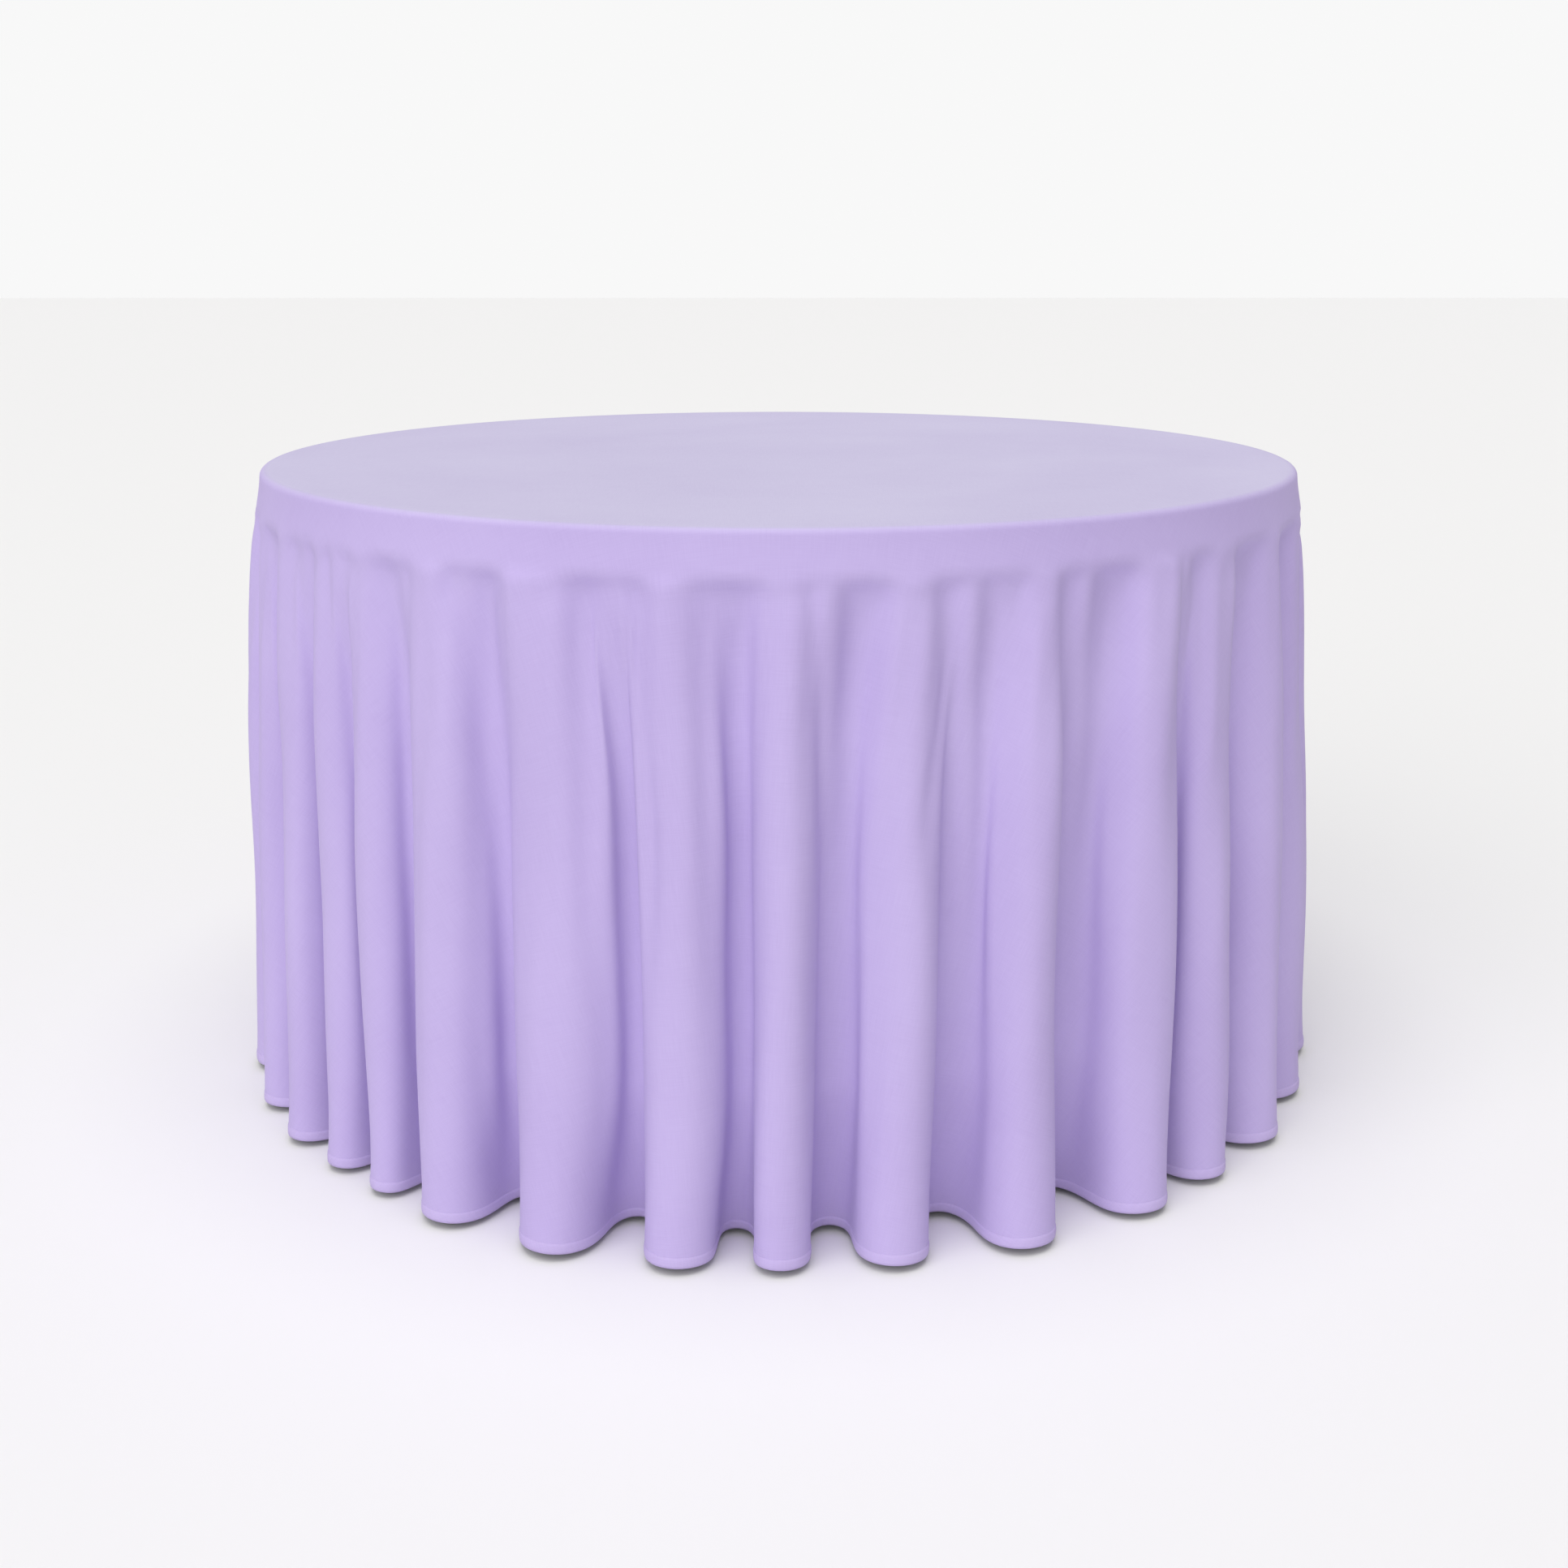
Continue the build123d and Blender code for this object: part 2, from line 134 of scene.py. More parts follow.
def drape():
    """Grid of the hanging cloth: rows down from the rounded edge, columns round it. Each fold starts as a narrow
    flute at the edge of the top and widens downwards, and between the flutes the cloth tucks in under the edge."""
    az, rad, crest, wall, dth = layout()
    rm_hem = 0.6200
    chord = rm_hem * dth
    goal = (FLAT_R - 0.035) * 2 * np.pi
    lo, hi = 0.6, 2.0
    for _ in range(40):                     # fold depths that use up the length of the hem
        k = (lo + hi) / 2
        height = np.abs(rad - 0.6235) * k
        psi_hem = np.interp(height / chord, HEIGHT[1:] / CHORD[1:], PSI[1:])
        arc = chord / np.interp(psi_hem, PSI, CHORD)
        lo, hi = (k, hi) if arc.sum() < goal else (lo, k)
    dphi = 0.30 * arc / arc.sum() * 2 * np.pi + 0.70 * dth
    phi = wall[0] + np.concatenate([[0], np.cumsum(dphi)[:-1]])
    phi += np.average(az - (phi + dphi / 2), weights=dth)
    print("drape: folds", crest.sum(), "depth x %.3f" % k, "hem needs a flat radius of %.3f m, slant up to %.1f deg" % (arc.sum() / (2 * np.pi), np.degrees(np.abs(wall - phi).max())))

    s_edge = (R_CLOTH - (R_ROUND + 0.0008)) + (R_ROUND + 0.0008) * np.pi / 2
    rows = int(round((FLAT_R - s_edge) / ROW))
    d = np.linspace(0, FLAT_R - s_edge, rows + 1)
    D = d[-1]
    band = Z_TOP - Z_EDGE
    col = np.arange(N) / N * 2 * np.pi + phi[0]

    rng = np.random.default_rng(11)
    K = len(az)
    mid = phi + dphi / 2                    # middle of each crest and valley, where it leaves the edge
    mid_h = mid.copy()
    az_mid = az.copy()                      # half way down some valleys stand a little aside of where they end
    for a0, by in ((-15.4, 2.0), (-4.5, 1.3), (-27.6, 0.7), (4.6, 0.6), (16.8, 0.8)):
        az_mid[np.argmin(np.abs(np.degrees(az) - a0) + 99 * crest)] += math.radians(by)
    mid = az_mid + rng.uniform(-0.10, 0.10, K) * dth.mean()
    # each valley is a wide pocket at the edge that closes to a narrow slot: one side of it runs straight down,
    # the other slants in. Shares are of the way from the valley to the crest before it and after it.
    slot = rng.uniform(0.13, 0.20, K)
    slot_m = 0.28 * (slot / 0.16) ** 0.3
    for a0 in (4.6, 16.8, 29.4, 120.0, 172.0, 238.0):
        q = np.argmin(np.abs(np.degrees(az) - a0) + 99 * crest)
        slot[q] = 0.40; slot_m[q] = 0.44
    left = np.where(np.degrees(az) < 90, az < 0, rng.random(K) < 0.5)
    slant = rng.uniform(0.58, 0.84, K)
    sharp = slot + rng.uniform(0.04, 0.14, K)
    pl, pr = np.where(left, slant, sharp), np.where(left, sharp, slant)
    closed = rng.uniform(0.24, 0.42, K)     # how far down the pocket has closed

    def between(c, vl, vr):
        p = np.roll(c, 1).copy(); p[0] -= 2 * np.pi
        return np.where(crest, p + np.roll(vr, 1) * (c - p), c - vl * (c - p))

    # small ridges inside the pockets under the edge, running out into the walls of the folds
    ridges = []
    for q in range(K):
        if crest[q]:
            continue
        for _ in range(int(rng.choice([0, 1, 1, 2, 2]))):
            at = mid[q] + rng.uniform(-0.34, 0.34) * dth[q] * 1.9
            ridges.append((at, rng.uniform(-0.5, 0.5) * dth[q], rng.uniform(0.0035, 0.0070), rng.uniform(0.008, 0.012) / R_CLOTH, rng.uniform(0.13, 0.34)))
    for a0, lean, a, end in ((4.4, 0.6, 0.012, 0.66), (17.2, 0.8, 0.011, 0.70), (-29.5, 2.6, 0.008, 0.40), (-33.0, 3.5, 0.007, 0.34), (-15.0, -1.0, 0.006, 0.45),
                             (29.0, 1.0, 0.011, 0.66), (41.0, 1.0, 0.006, 0.40), (-47.0, 2.0, 0.006, 0.30), (118.0, 1.0, 0.010, 0.62), (171.0, -1.0, 0.011, 0.66), (236.0, 1.2, 0.010, 0.58)):
        ridges.append((math.radians(a0), math.radians(lean), a, 0.0105 / R_CLOTH, end))

    # how far the crests stand out from the edge on the way down
    out_d = np.array([0, 0.020, 0.045, 0.060, 0.08, 0.15, 0.22, 0.37, 0.515, 0.66, D])
    out_r = np.array([0, 0.0020, 0.0065, 0.0090, 0.0120, 0.0190, 0.0260, 0.0380, 0.0455, 0.0520, 0.0555])
    # faint streaks that run down the cloth, finer near the top
    streaks = []
    for peak, wide, sig, a in ((0.10, 0.06, 0.008, 0.0016), (0.22, 0.10, 0.012, 0.0032), (0.40, 0.14, 0.015, 0.0038), (0.62, 0.14, 0.020, 0.0038)):
        v = smooth_ring(rng.normal(size=N), sig / (2 * math.pi * R_CLOTH / N))
        streaks.append((peak, wide, v / v.std() * a))
    F = 1 + d / R_CLOTH * slack(d)
    leave = band - 0.005                    # where the cloth leaves the bottom of the edge
    PX = np.zeros((rows + 1, N)); PY = np.zeros_like(PX)
    for i in range(rows + 1):
        f_v = 1 + (F[i] - 1) * 0.35
        m_v = f_v / F[i]
        s1 = np.clip((d[i] - band) / (closed - band), 0, 1); s1 = s1 * (1.6 - 0.6 * s1)
        s2, s3 = (float(v * v * (3 - 2 * v)) for v in (np.clip((d[i] - band) / 0.30, 0, 1), np.clip((d[i] - 0.50) / (D - 0.50), 0, 1) ** 1.4))
        s3 *= 0.7
        th0 = (1 - s3) * between((1 - s2) * mid + s2 * az_mid, pl + (slot - pl) * s1, pr + (slot - pr) * s1) + s3 * wall
        ph0 = (1 - s3) * between((1 - s2) * mid + s2 * mid_h, pl * m_v + (slot_m - pl * m_v) * s1, pr * m_v + (slot_m - pr * m_v) * s1) + s3 * phi
        dth_i = np.append(th0[1:], th0[0] + 2 * np.pi) - th0
        dph_i = np.append(ph0[1:], ph0[0] + 2 * np.pi) - ph0
        cm = (col - ph0[0]) % (2 * np.pi) + ph0[0]
        which = np.clip(np.searchsorted(ph0, cm, side="right") - 1, 0, K - 1)
        t = np.clip((cm - ph0[which]) / dph_i[which], 0, 1)
        L = R_CLOTH * F[i] * dph_i
        c = np.minimum(0.6175 * dth_i / L, 0.99999)
        ps = np.interp(-c, -CHORD, PSI)
        kk = np.interp(ps, PSI, np.arange(len(PSI)))
        k0 = np.minimum(kk.astype(int), len(PSI) - 2); kf = (kk - k0)[which]
        tj = t * (len(TT) - 1); t0 = np.minimum(tj.astype(int), len(TT) - 2); tf = tj - t0
        amp = np.interp(ps, PSI, HEIGHT) * L
        k0 = k0[which]

        def look(T):
            return ((T[k0, t0] * (1 - tf) + T[k0, t0 + 1] * tf) * (1 - kf)
                    + (T[k0 + 1, t0] * (1 - tf) + T[k0 + 1, t0 + 1] * tf) * kf)
        th = th0[which] + look(XT) / np.interp(ps, PSI, CHORD)[which] * dth_i[which] + (col - cm)
        y = np.where(crest[which], 1.0, -1.0) * look(YT) * L[which]
        base = R_CLOTH + np.interp(d[i], out_d, out_r) - np.average(amp[crest])
        tuck = np.clip((d[i] - leave) / 0.012, 0, 1)
        base = (1 - tuck) * max(base, R_CLOTH) + tuck * base
        r = base + y + 0.0018 * np.clip(d[i] / band, 0, 1) ** 2 * np.clip((0.062 - d[i]) / 0.02, 0, 1)
        for at, lean, a, w, end in ridges:
            env = np.clip((d[i] - band + 0.012) / 0.02, 0, 1) * np.clip((end - d[i]) / (0.6 * end), 0, 1)
            if env > 0:
                u = (th - (at + lean * d[i] / end) + np.pi) % (2 * np.pi) - np.pi
                r = r + a * env * np.exp(-0.5 * (u / w) ** 2)
        for peak, wide, v in streaks:
            r = r + v * np.exp(-0.5 * ((d[i] - peak) / wide) ** 2) * np.clip((d[i] - band) / 0.02, 0, 1)
        if i:
            r = smooth_ring(r, 1.0 * N / 1056)
            th = col + smooth_ring(th - col, 1.0 * N / 1056)
        if d[i] < leave + 0.001:
            over = r - R_CLOTH
            r = R_CLOTH + 0.5 * (over + np.sqrt(over ** 2 + 0.0012 ** 2)) * min(1, d[i] / 0.02)
        PX[i] = r * np.sin(th); PY[i] = -r * np.cos(th)
    h2 = np.diff(PX, axis=0) ** 2 + np.diff(PY, axis=0) ** 2
    step = np.diff(d)[:, None]
    dz = np.sqrt(np.maximum(step ** 2 - h2, (0.35 * step) ** 2))
    z0 = Z_CLOTH - (R_ROUND + 0.0008)
    return d, col, PX, PY, np.vstack([np.full(N, z0), z0 - np.cumsum(dz, axis=0)])


def relax(P, d, guide, steps, dt, stiff_comp=0.5, bend=0.010, damp=0.985, seed=3, noise=0.0, hold=(0.0, 0.0), below=1.0):
    """Position-based dynamics of the hanging cloth under gravity. P is a grid of rows down and columns round.
    Lengths come from the flat round cut. The first row is held by the edge of the table, the cloth slides on the
    edge's outside, can't pass through it, and its columns keep their order, so folds never pass through each other."""
    P = P.astype(np.float32).copy()
    M, n = P.shape[0], P.shape[1]
    s_edge = (R_CLOTH - (R_ROUND + 0.0008)) + (R_ROUND + 0.0008) * np.pi / 2
    s = (s_edge + d).astype(np.float32)
    dph = 2 * np.pi / n
    band = Z_TOP - Z_EDGE
    hoop = (2 * (R_CLOTH + (s - R_CLOTH) * slack(d)) * np.sin(dph / 2)).astype(np.float32)
    ease = 1 - 0.35 * np.clip(1 - d / band, 0, 1)
    hoop = (hoop[0] + (hoop - hoop[0]) * ease).astype(np.float32)
    hoop[0] = 2 * R_CLOTH * math.sin(dph / 2)
    dr = np.diff(s)
    diag = np.sqrt(dr ** 2 + hoop[1:] * hoop[:-1]).astype(np.float32)
    anchor = P[0].copy()
    reach = (d * 1.0015 + 1e-6).astype(np.float32)
    rng = np.random.default_rng(seed)
    if noise:
        # small folds start under the edge and run out into the large ones
        ang = np.arctan2(P[..., 0], -P[..., 1])
        for peak, wide, sig, amp in ((0.16, 0.08, 0.010, 0.6), (0.32, 0.16, 0.017, 0.8), (0.6, 0.2, 0.03, 0.8)):
            kick = smooth_ring(rng.normal(size=(1, n)), sig / (2 * math.pi * R_CLOTH / n))
            kick = kick / kick.std() * noise * amp
            grow = np.exp(-0.5 * ((d - peak) / wide) ** 2)[:, None] * np.clip((d - 0.03) / 0.02, 0, 1)[:, None]
            P[..., 0] += kick * np.sin(ang) * grow; P[..., 1] -= kick * np.cos(ang) * grow
    Vv = np.zeros_like(P)
    g = np.float32(9.81 * dt * dt)
    w_up = np.ones((M, 1, 1), np.float32); w_up[0] = 0

    def pull(A, B, rest, wa, wb, k, kc=None):
        D = B - A
        L = np.sqrt(np.einsum("ijk,ijk->ij", D, D)) + 1e-9
        C = (L - rest) / L
        if kc is None:
            C *= k
        else:
            C = np.where(C > 0, C * k, C * kc)
        W = wa + wb
        D *= C[..., None]
        return D * (wa / W), D * (wb / W)

    if guide is not None:
        guide = guide.astype(np.float32)
        soft = (below + 12 * np.exp(-(np.maximum(d - band, 0) / 0.10) ** 2)) * np.clip(d / band, 0, 1) ** 0.5
        soft = soft[:, None, None].astype(np.float32)
    for it in range(steps):
        old = P.copy()
        P += Vv
        P[1:, :, 2] -= g
        P[0] = anchor
        for par in (0, 1):                       # down the cloth
            m = (M - par) // 2
            A = P[par:par + 2 * m:2]; B = P[par + 1:par + 2 * m:2]
            m = min(len(A), len(B)); A = A[:m]; B = B[:m]
            rest = dr[par:par + 2 * m:2][:, None].astype(np.float32)
            da, db = pull(A, B, rest, w_up[par:par + 2 * m:2][:m], w_up[par + 1:par + 2 * m:2][:m], 1.0)
            A += da; B -= db
        h = hoop[1:, None]
        Q = P[1:]
        E, O = Q[:, 0::2], Q[:, 1::2]
        da, db = pull(E, O, h, 1.0, 1.0, 1.0, stiff_comp); E += da; O -= db
        E2 = np.roll(E, -1, 1)
        da, db = pull(O, E2, h, 1.0, 1.0, 1.0, stiff_comp); O += da; E -= np.roll(db, 1, 1)
        for par in (0, 1):                       # shear
            m = (M - par) // 2
            A = P[par:par + 2 * m:2]; B = P[par + 1:par + 2 * m:2]
            m = min(len(A), len(B)); A = A[:m]; B = B[:m]
            rest = diag[par:par + 2 * m:2][:m, None]
            wa = w_up[par:par + 2 * m:2][:m]; wb = w_up[par + 1:par + 2 * m:2][:m]
            da, db = pull(A, np.roll(B, -1, 1), rest, wa, wb, 0.12); A += da; B -= np.roll(db, 1, 1)
            da, db = pull(A, np.roll(B, 1, 1), rest, wa, wb, 0.12); A += da; B -= np.roll(db, -1, 1)
        if guide is not None:                    # the folds are dressed by hand to where they hang
            k = np.float32(hold[0] + (hold[1] - hold[0]) * it / steps)
            P[..., :2] += (guide[..., :2] - P[..., :2]) * np.minimum(soft * k, 0.25)
        # bending, round and down
        Q = P[1:]
        L2 = np.roll(Q, 1, 1) + np.roll(Q, -1, 1) - 2 * Q
        Q -= bend * (np.roll(L2, 1, 1) + np.roll(L2, -1, 1) - 2 * L2)
        Lr = P[2:] + P[:-2] - 2 * P[1:-1]
        P[2:-2] -= 0.02 * (Lr[2:] + Lr[:-2] - 2 * Lr[1:-1])
        # no point hangs further from its place on the edge than its own length of cloth
        D = P[1:] - anchor[None]
        L = np.sqrt(np.einsum("ijk,ijk->ij", D, D))
        f = np.minimum(1.0, reach[1:, None] / L)
        P[1:] = anchor[None] + D * f[..., None]
        # the edge of the table
        r = np.sqrt(P[..., 0] ** 2 + P[..., 1] ** 2)
        depth = np.clip((P[..., 2] - (Z_EDGE - 0.001)) / 0.004, 0, 1)
        lo = R_CLOTH - 0.005 * (1 - np.sqrt(np.clip(1 - (1 - depth) ** 2, 0, 1)))
        hit = (P[..., 2] > Z_EDGE - 0.001) & (r < lo)
        k = np.where(hit, lo / r, 1.0)
        P[..., 0] *= k; P[..., 1] *= k
        P[..., 2] = np.maximum(P[..., 2], 0.0022)
        # neighbours keep their order round the table
        r = np.sqrt(P[..., 0] ** 2 + P[..., 1] ** 2)
        a = np.arctan2(P[..., 0], -P[..., 1])
        gap = np.roll(a, -1, 1) - a
        gap = (gap + np.pi) % (2 * np.pi) - np.pi
        lack = np.clip(0.02 * dph - gap, 0, 0.5 * dph)
        mv = 0.5 * (np.roll(lack, 1, 1) - lack)
        mv[0] = 0
        ca, sa = np.cos(mv), np.sin(mv)
        x, y = P[..., 0].copy(), P[..., 1].copy()
        P[..., 0] = x * ca - y * sa; P[..., 1] = x * sa + y * ca
        P[0] = anchor
        Vv = (P - old) * np.float32(damp)
        sp = np.sqrt(np.einsum("ijk,ijk->ij", Vv, Vv))
        Vv *= np.minimum(1.0, 0.002 / np.maximum(sp, 1e-9))[..., None]
    D = np.diff(P, axis=0); L = np.sqrt((D ** 2).sum(2)) / dr[:, None]
    H = np.roll(P, -1, 1) - P; Lh = np.sqrt((H ** 2).sum(2)) / hoop[:, None]
    print("relax: %d steps, down %.3f..%.3f mean %.3f, round mean %.3f (hem %.3f), speed %.5f, hem z %.4f..%.4f, hem r %.3f..%.3f" % (
        steps, L.min(), L.max(), L.mean(), Lh.mean(), Lh[-1].mean(), np.sqrt((Vv ** 2).sum(2)).mean() / dt,
        P[-1, :, 2].min(), P[-1, :, 2].max(), np.hypot(P[-1, :, 0], P[-1, :, 1]).min(), np.hypot(P[-1, :, 0], P[-1, :, 1]).max()))
    return P.astype(float)


def resample(P, d, col, d2, n2):
    """The same cloth on a finer grid: cubic round the ring (by Fourier), linear between rows."""
    M, n = P.shape[:2]
    th = np.arctan2(P[..., 0], -P[..., 1])
    out = np.empty((len(d2), n2, 3))
    k = n2 // 2 + 1
    for c in range(3):
        f = np.fft.rfft(P[..., c], axis=1)
        g = np.zeros((M, k), complex); m = min(f.shape[1], k); g[:, :m] = f[:, :m]
        fine = np.fft.irfft(g, n2, axis=1) * n2 / n
        i = np.clip(np.searchsorted(d, d2, side="right") - 1, 0, M - 2)
        w = ((d2 - d[i]) / (d[i + 1] - d[i]))[:, None]
        p0, p1 = fine[i], fine[i + 1]
        pm, pp = fine[np.maximum(i - 1, 0)], fine[np.minimum(i + 2, M - 1)]
        m0, m1 = (p1 - pm) / 2, (pp - p0) / 2
        m0[i == 0] = (p1 - p0)[i == 0]
        out[..., c] = (2 * w ** 3 - 3 * w ** 2 + 1) * p0 + (w ** 3 - 2 * w ** 2 + w) * m0 + (-2 * w ** 3 + 3 * w ** 2) * p1 + (w ** 3 - w ** 2) * m1
    return out


def hang():
    import time
    t0 = time.time()
    d, col, px, py, pz = drape()
    P = np.stack([px, py, pz], 2)
    n1 = 792
    d1 = np.linspace(0, d[-1], 73)
    P1 = resample(P, d, col, d1, n1)
    P1 = relax(P1, d1, P1, 420, 1 / 240, bend=0.008, damp=0.97, noise=0.0, hold=(0.020, 0.0080))
    P1 = resample(P1, d1, None, d, N)
    print("coarse %.1f s" % (time.time() - t0))
    P = relax(P1, d, P, 240, 1 / 480, bend=0.008, damp=0.97, hold=(0.004, 0.003), below=0.5)
    print("fine %.1f s" % (time.time() - t0))
    P = soften(smooth_band(P, d, col), d)
    return d, col, P[..., 0], P[..., 1], P[..., 2]


def soften(P, d):
    """Take the hard kinks out of the creases under the pockets: a light blur down the cloth and round it."""
    M = len(d)
    k = np.exp(-0.5 * (np.arange(-8, 9) * (d[1] - d[0]) / 0.014) ** 2); k /= k.sum()
    pad = np.concatenate([2 * P[:1] - P[8:0:-1], P, 2 * P[-1:] - P[-2:-10:-1]])
    down = sum(k[j] * pad[j:j + M] for j in range(17))
    both = np.moveaxis(smooth_ring(np.moveaxis(down, 1, 2), 1.0 * N / 1280), 2, 1)
    w = np.clip((d - 0.075) / 0.06, 0, 1) * np.clip((d[-1] - d) / 0.03, 0, 1)
    P = P + (both - P) * w[:, None, None]
    # the deepest slots between the folds ease out a little above the hem
    r = np.hypot(P[..., 0], P[..., 1])
    x = np.percentile(r, 90, axis=1, keepdims=True) - r - 0.022
    w = np.clip((d - 0.10) / 0.10, 0, 1) * np.clip((d[-1] - d) / 0.16, 0, 1)
    k = 1 + 0.36 * w[:, None] * 0.5 * (x + np.sqrt(x ** 2 + 0.006 ** 2)) / r
    return P * np.stack([k, k, np.ones_like(k)], 2)


def smooth_band(P, d, col):
    """On the edge of the top the cloth lies in a plain band: the folds start where it leaves the bottom of the edge."""
    band = Z_TOP - Z_EDGE
    r = np.hypot(P[..., 0], P[..., 1])
    a = np.arctan2(P[..., 0], -P[..., 1])
    a = col[None] + (a - col[None] + np.pi) % (2 * np.pi) - np.pi
    crest = np.percentile(r, 93, axis=1)
    at = np.interp(band + 0.010, d, crest)
    ring = R_CLOTH + (at - R_CLOTH) * np.clip(d / (band + 0.010), 0, 1) ** 1.3
    w = np.clip((d - 0.034) / (band + 0.007 - 0.034), 0, 1)
    w = (1 - w * w * (3 - 2 * w))[:, None]
    r = w * ring[:, None] + (1 - w) * r
    even = col[None] + smooth_ring(a - col[None], 40.0 * N / 1280)
    a = w * even + (1 - w) * a
    z = w * P[..., 2].mean(axis=1, keepdims=True) + (1 - w) * P[..., 2]
    return np.stack([r * np.sin(a), -r * np.cos(a), z], 2)


def streaks(d, seed=21):
    """Faint pleats left in the hanging cloth, a millimetre deep, that run down it and die out one after another."""
    rng = np.random.default_rng(seed)
    band = Z_TOP - Z_EDGE
    out = np.zeros((len(d), N))
    for peak in np.linspace(0.10, 0.66, 8):
        for sig, a in ((0.0055, 0.00045), (0.0095, 0.00085)):
            v = smooth_ring(rng.normal(size=N), sig / (2 * math.pi * R_CLOTH / N))
            out += (v / v.std() * a)[None] * np.exp(-0.5 * ((d - peak) / 0.085) ** 2)[:, None]
    return out * np.clip((d - band) / 0.04, 0, 1)[:, None] * np.clip((d[-1] + 0.02 - d) / 0.08, 0, 1)[:, None]


def cloth_mesh():
    d, col, px, py, pz = hang()
    G = np.stack([px, py, pz], 2)
    n_ = np.cross(np.roll(G, -1, 1) - np.roll(G, 1, 1), np.gradient(G, axis=0))
    n_ /= np.maximum(np.linalg.norm(n_, axis=2, keepdims=True), 1e-12)
    G = G + n_ * streaks(d)[..., None]
    px, py, pz = G[..., 0], G[..., 1], G[..., 2]
    rows = len(d)
    # rounded edge and flat top, ring by ring inwards, then the middle point
    rr = R_ROUND + 0.0008
    rc = R_CLOTH - rr
    arcs = []
    for a in np.radians([72, 54, 36, 18, 0]):
        arcs.append((rc + rr * math.sin(a), Z_CLOTH - rr + rr * math.cos(a), rc + rr * a))
    flat = [(r, Z_CLOTH, r) for r in (0.596, 0.58, 0.555, 0.52, 0.47, 0.41, 0.34, 0.27, 0.20, 0.135, 0.08, 0.04, 0.015)]
    rings = arcs + flat
    verts, flats = [], []
    s_edge = rc + rr * math.pi / 2
    for i in range(rows - 1, -1, -1):
        verts.append(np.stack([px[i], py[i], pz[i]], 1))
        s = s_edge + d[i]
        flats.append(np.stack([s * np.sin(col), -s * np.cos(col), np.full(N, s)], 1))
    for r, z, s in rings:
        verts.append(np.stack([r * np.sin(col), -r * np.cos(col), np.full(N, z)], 1))
        flats.append(np.stack([s * np.sin(col), -s * np.cos(col), np.full(N, s)], 1))
    V = np.concatenate(verts + [np.array([[0, 0, Z_CLOTH]])])
    F = np.concatenate(flats + [np.array([[0, 0, 0.0]])])
    R = rows + len(rings)
    j = np.arange(N); jn = (j + 1) % N
    faces = []
    for i in range(R - 1):
        faces.append(np.stack([i * N + j, i * N + jn, (i + 1) * N + jn, (i + 1) * N + j], 1))
    quads = np.concatenate(faces)
    tris = np.stack([(R - 1) * N + j, (R - 1) * N + jn, np.full(N, R * N)], 1)
    return V, F, quads, tris, rows


def make_mesh(name, V, quads, tris=None, attrs=None):
    me = bpy.data.meshes.new(name)
    nq = len(quads); nt = 0 if tris is None else len(tris)
    loops = np.concatenate([quads.ravel()] + ([tris.ravel()] if nt else [])).astype(np.int32)
    starts = np.concatenate([np.arange(nq) * 4] + ([nq * 4 + np.arange(nt) * 3] if nt else [])).astype(np.int32)
    me.vertices.add(len(V)); me.loops.add(len(loops)); me.polygons.add(nq + nt)
    me.vertices.foreach_set("co", np.ascontiguousarray(V, np.float32).ravel())
    me.loops.foreach_set("vertex_index", loops)
    me.polygons.foreach_set("loop_start", starts)
    me.polygons.foreach_set("use_smooth", np.ones(nq + nt, bool))
    me.update(calc_edges=True)
    me.validate()
    for key, val in (attrs or {}).items():
        a = me.attributes.new(key, "FLOAT_VECTOR", "POINT")
        a.data.foreach_set("vector", np.ascontiguousarray(val, np.float32).ravel())
    o = bpy.data.objects.new(name, me)
    scene.collection.objects.link(o)
    return o


def ring_normals(P, rows, n):
    """Outward normals of a rows x n grid that closes round."""
    G = P.reshape(rows, n, 3)
    du = np.roll(G, -1, 1) - np.roll(G, 1, 1)
    dv = np.empty_like(G)
    dv[1:-1] = G[2:] - G[:-2]; dv[0] = G[1] - G[0]; dv[-1] = G[-1] - G[-2]
    nrm = np.cross(du, dv)
    nrm /= np.maximum(np.linalg.norm(nrm, axis=2, keepdims=True), 1e-12)
    return nrm


V, F, quads, tris, rows = cloth_mesh()
# solid sheet: outer and inner skins, closed at the hem
R_ALL = (len(V) - 1) // N
nrm = ring_normals(V[:-1], R_ALL, N).reshape(-1, 3)
if nrm[N * (rows // 2)].dot(np.append(V[N * (rows // 2)][:2], 0)) < 0:
    nrm = -nrm
up = np.array([[0, 0, 1.0]])
nrm[N * (R_ALL - 12):] = up
nrm = np.concatenate([nrm, up])
VO = V + nrm * CLOTH_T / 2
VI = V - nrm * CLOTH_T / 2
nv = len(V)
j = np.arange(N); jn = (j + 1) % N
edge = np.stack([j, nv + j, nv + jn, jn], 1)
cloth = make_mesh(
    "tablecloth", np.concatenate([VO, VI]),
    np.concatenate([quads, quads[:, ::-1] + nv, edge]), np.concatenate([tris, tris[:, ::-1] + nv]),
    {"flat_xy": np.concatenate([F, F])},
)

# the turned hem: a double turn of the same cloth along the last centimetre
hem_rows = max(2, int(math.ceil(HEM_W / (np.linalg.norm(V[N] - V[0])))) + 1)


